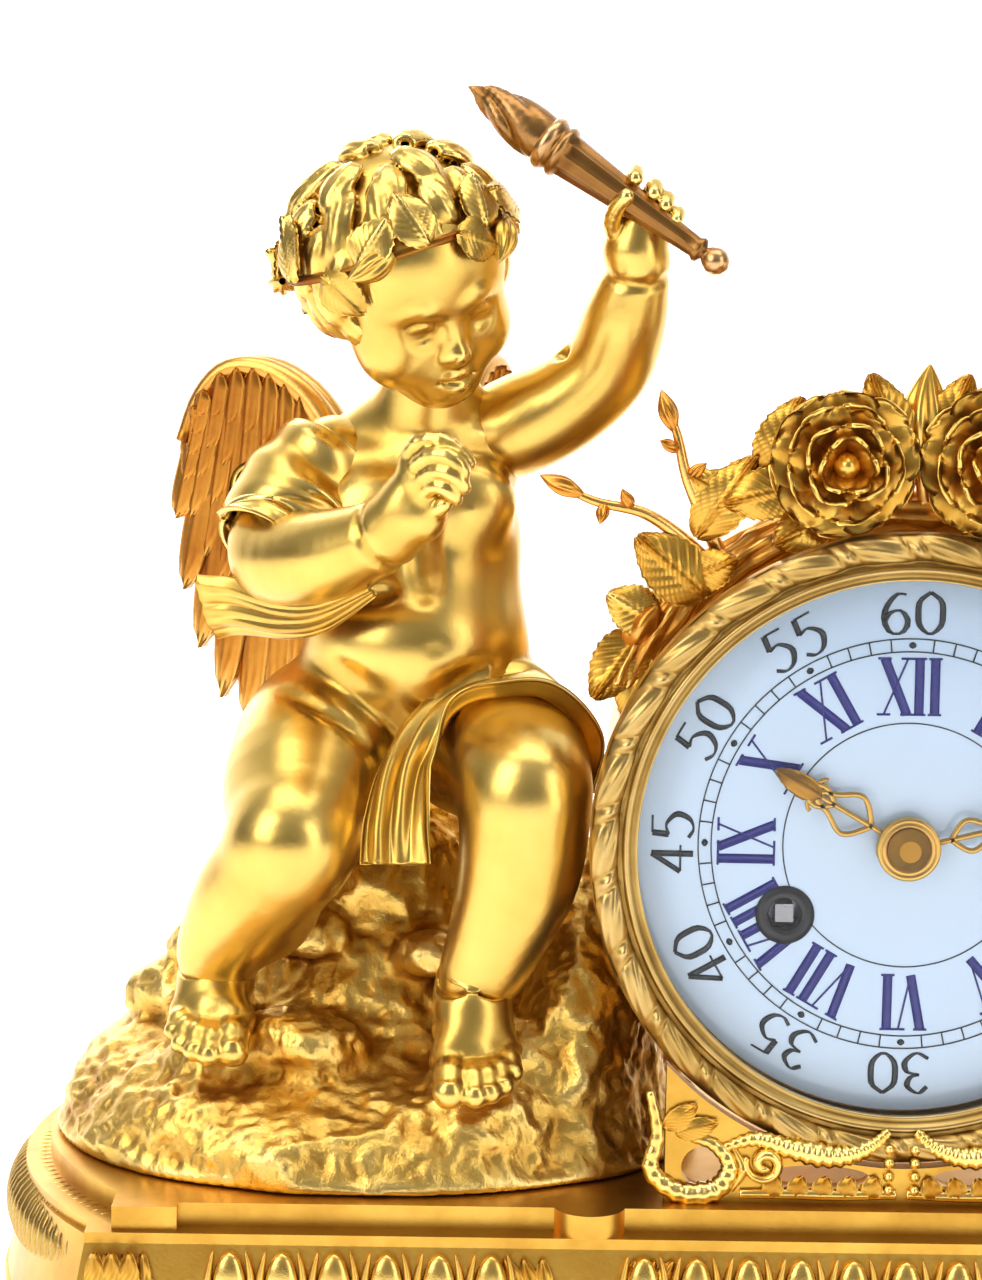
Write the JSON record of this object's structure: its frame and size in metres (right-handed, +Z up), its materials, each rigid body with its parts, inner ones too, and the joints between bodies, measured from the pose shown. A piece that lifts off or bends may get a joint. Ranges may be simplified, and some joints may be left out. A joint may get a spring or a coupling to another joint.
{
  "type": "figural mantel clock",
  "caption": "Gilt mantel clock: round dial in a drum with garland, between seated winged children on rockwork, on an oblong footed base.",
  "frame": {"origin": "on the surface under the feet, below the middle of the base", "axes": "+X to the right of the dial seen from the front, +Y to the back, +Z up"},
  "size_m": [0.346, 0.132, 0.2546],
  "materials": {
    "gilt_bronze": "satin fire gilding on cast bronze",
    "deep_gilt": "deeper red-gold gilding on cast bronze",
    "aged_gilt": "antiqued gilding with dark recesses",
    "enamel": "glossy pale blue-white enamel on copper",
    "dial_glass": "clear polished",
    "case_brass": "brushed",
    "movement_brass": "polished",
    "steel": "fine turned",
    "spring_steel": "blued",
    "bell_metal": "turned satin",
    "gilt_hands": "pierced and gilt"
  },
  "bodies": {
    "root": {"base_feet": "gilt_bronze", "base_plinth": "gilt_bronze", "base_frieze": "gilt_bronze", "base_platform": "gilt_bronze", "base_bolts": "steel", "drum_case": "case_brass", "hinge_pins": "steel", "dial_enamel": "enamel", "dial_plate": "movement_brass", "movement_straps": "steel", "suspension_cock": "movement_brass", "bell": "bell_metal", "bell_stand": "movement_brass", "front_plate": "movement_brass", "back_plate": "movement_brass", "plate_pillars": "movement_brass", "ratchet_clicks": "steel", "left_mound": "gilt_bronze", "right_mound": "gilt_bronze", "apron": "gilt_bronze", "garland_branch": "deep_gilt", "garland_roses": "deep_gilt", "garland_leaves": "deep_gilt", "left_cherub_body": "gilt_bronze", "left_cherub_head": "gilt_bronze", "left_cherub_arms": "gilt_bronze", "left_cherub_wings": "deep_gilt", "left_cherub_drapery": "gilt_bronze", "torch": "deep_gilt", "right_cherub_body": "gilt_bronze", "right_cherub_head": "gilt_bronze", "right_cherub_arms": "gilt_bronze", "right_cherub_wings": "deep_gilt", "right_cherub_drapery": "gilt_bronze", "wreath": "deep_gilt"},
    "bezel_door": {"bezel": "aged_gilt", "bezel_glass": "dial_glass"},
    "rear_door_leaf": {"rear_door": "case_brass"},
    "minute_arbor": {"centre_wheel": "movement_brass", "minute_hand": "gilt_hands", "hand_collet": "movement_brass"},
    "hour_pipe": {"hour_wheel": "movement_brass", "hour_hand": "gilt_hands"},
    "motion_arbor": {"minute_wheel": "movement_brass"},
    "time_barrel_drum": {"time_barrel": "movement_brass", "time_mainspring": "spring_steel"},
    "intermediate_arbor": {"intermediate_wheel": "movement_brass"},
    "third_arbor": {"third_wheel": "movement_brass"},
    "escape_arbor": {"escape_wheel": "movement_brass"},
    "anchor_arbor": {"pallet_anchor": "steel"},
    "pendulum_rod": {"pendulum": "movement_brass"},
    "time_winder": {"time_winding_arbor": "steel"},
    "strike_winder": {"strike_winding_arbor": "steel"},
    "strike_barrel_drum": {"strike_barrel": "movement_brass", "strike_mainspring": "spring_steel"},
    "second_arbor": {"strike_second_wheel": "movement_brass"},
    "pin_arbor": {"pin_wheel": "movement_brass"},
    "fly_arbor": {"strike_fly": "movement_brass"},
    "hammer_arbor": {"hammer": "steel"}
  },
  "joints": [
    {"name": "bezel_hinge", "type": "hinge", "parent": "root", "child": "bezel_door", "pos_m": [0.0613, -0.04684, 0.1145], "axis": [0, 0, 1], "range_deg": [0, 80]},
    {"name": "rear_door_hinge", "type": "hinge", "parent": "root", "child": "rear_door_leaf", "pos_m": [0.0554, 0.0471, 0.1145], "axis": [0, 0, -1], "range_deg": [0, 100]},
    {"name": "minute_turn", "type": "hinge", "parent": "root", "child": "minute_arbor", "pos_m": [0, 0, 0.1145], "axis": [0, 1, 0], "continuous": true},
    {"name": "hour_turn", "type": "hinge", "parent": "root", "child": "hour_pipe", "pos_m": [0, 0, 0.1145], "axis": [0, 1, 0], "continuous": true},
    {"name": "motion_turn", "type": "hinge", "parent": "root", "child": "motion_arbor", "pos_m": [0, 0, 0.1049], "axis": [0, 1, 0], "continuous": true},
    {"name": "time_barrel_turn", "type": "hinge", "parent": "root", "child": "time_barrel_drum", "pos_m": [0.0223, 0, 0.1011], "axis": [0, 1, 0], "continuous": true},
    {"name": "intermediate_turn", "type": "hinge", "parent": "root", "child": "intermediate_arbor", "pos_m": [0.01458, 0, 0.12223], "axis": [0, 1, 0], "continuous": true},
    {"name": "third_turn", "type": "hinge", "parent": "root", "child": "third_arbor", "pos_m": [-0.00406, 0, 0.1308], "axis": [0, 1, 0], "continuous": true},
    {"name": "escape_turn", "type": "hinge", "parent": "root", "child": "escape_arbor", "pos_m": [0, 0, 0.14124], "axis": [0, 1, 0], "continuous": true},
    {"name": "pendulum_swing", "type": "hinge", "parent": "root", "child": "pendulum_rod", "pos_m": [0, 0.007, 0.15064], "axis": [0, 1, 0], "range_deg": [-2, 2]},
    {"name": "anchor_swing", "type": "hinge", "parent": "root", "child": "anchor_arbor", "pos_m": [0, 0, 0.15064], "axis": [0, 1, 0], "range_deg": [-2, 2]},
    {"name": "time_winding", "type": "hinge", "parent": "root", "child": "time_winder", "pos_m": [0.0223, 0, 0.1011], "axis": [0, 1, 0], "range_deg": [0, 1440]},
    {"name": "strike_winding", "type": "hinge", "parent": "root", "child": "strike_winder", "pos_m": [-0.0223, 0, 0.1011], "axis": [0, 1, 0], "range_deg": [0, 1440]},
    {"name": "pin_turn", "type": "hinge", "parent": "root", "child": "pin_arbor", "pos_m": [-0.02041, 0, 0.1333], "axis": [0, 1, 0], "continuous": true},
    {"name": "second_turn", "type": "hinge", "parent": "root", "child": "second_arbor", "pos_m": [-0.02621, 0, 0.12326], "axis": [0, 1, 0], "continuous": true},
    {"name": "strike_barrel_turn", "type": "hinge", "parent": "root", "child": "strike_barrel_drum", "pos_m": [-0.0223, 0, 0.1011], "axis": [0, 1, 0], "continuous": true},
    {"name": "fly_turn", "type": "hinge", "parent": "root", "child": "fly_arbor", "pos_m": [-0.01778, 0, 0.14311], "axis": [0, 1, 0], "continuous": true},
    {"name": "hammer_lift", "type": "hinge", "parent": "root", "child": "hammer_arbor", "pos_m": [-0.033, 0, 0.1385], "axis": [0, 1, 0], "range_deg": [0, 12], "stiffness_Nm_per_rad": 0.001, "springref_deg": -5.73}
  ],
  "couplings": [
    {"joint": "intermediate_turn", "follows": "minute_turn", "ratio": -0.17857},
    {"joint": "time_barrel_turn", "follows": "minute_turn", "ratio": 0.027473},
    {"joint": "third_turn", "follows": "minute_turn", "ratio": -6},
    {"joint": "escape_turn", "follows": "minute_turn", "ratio": 42},
    {"joint": "motion_turn", "follows": "minute_turn", "ratio": -0.33333},
    {"joint": "hour_turn", "follows": "minute_turn", "ratio": 0.083333},
    {"joint": "second_turn", "follows": "pin_turn", "ratio": -0.16},
    {"joint": "strike_barrel_turn", "follows": "pin_turn", "ratio": 0.024615},
    {"joint": "fly_turn", "follows": "pin_turn", "ratio": -6.25},
    {"joint": "anchor_swing", "follows": "pendulum_swing", "ratio": 1}
  ]
}
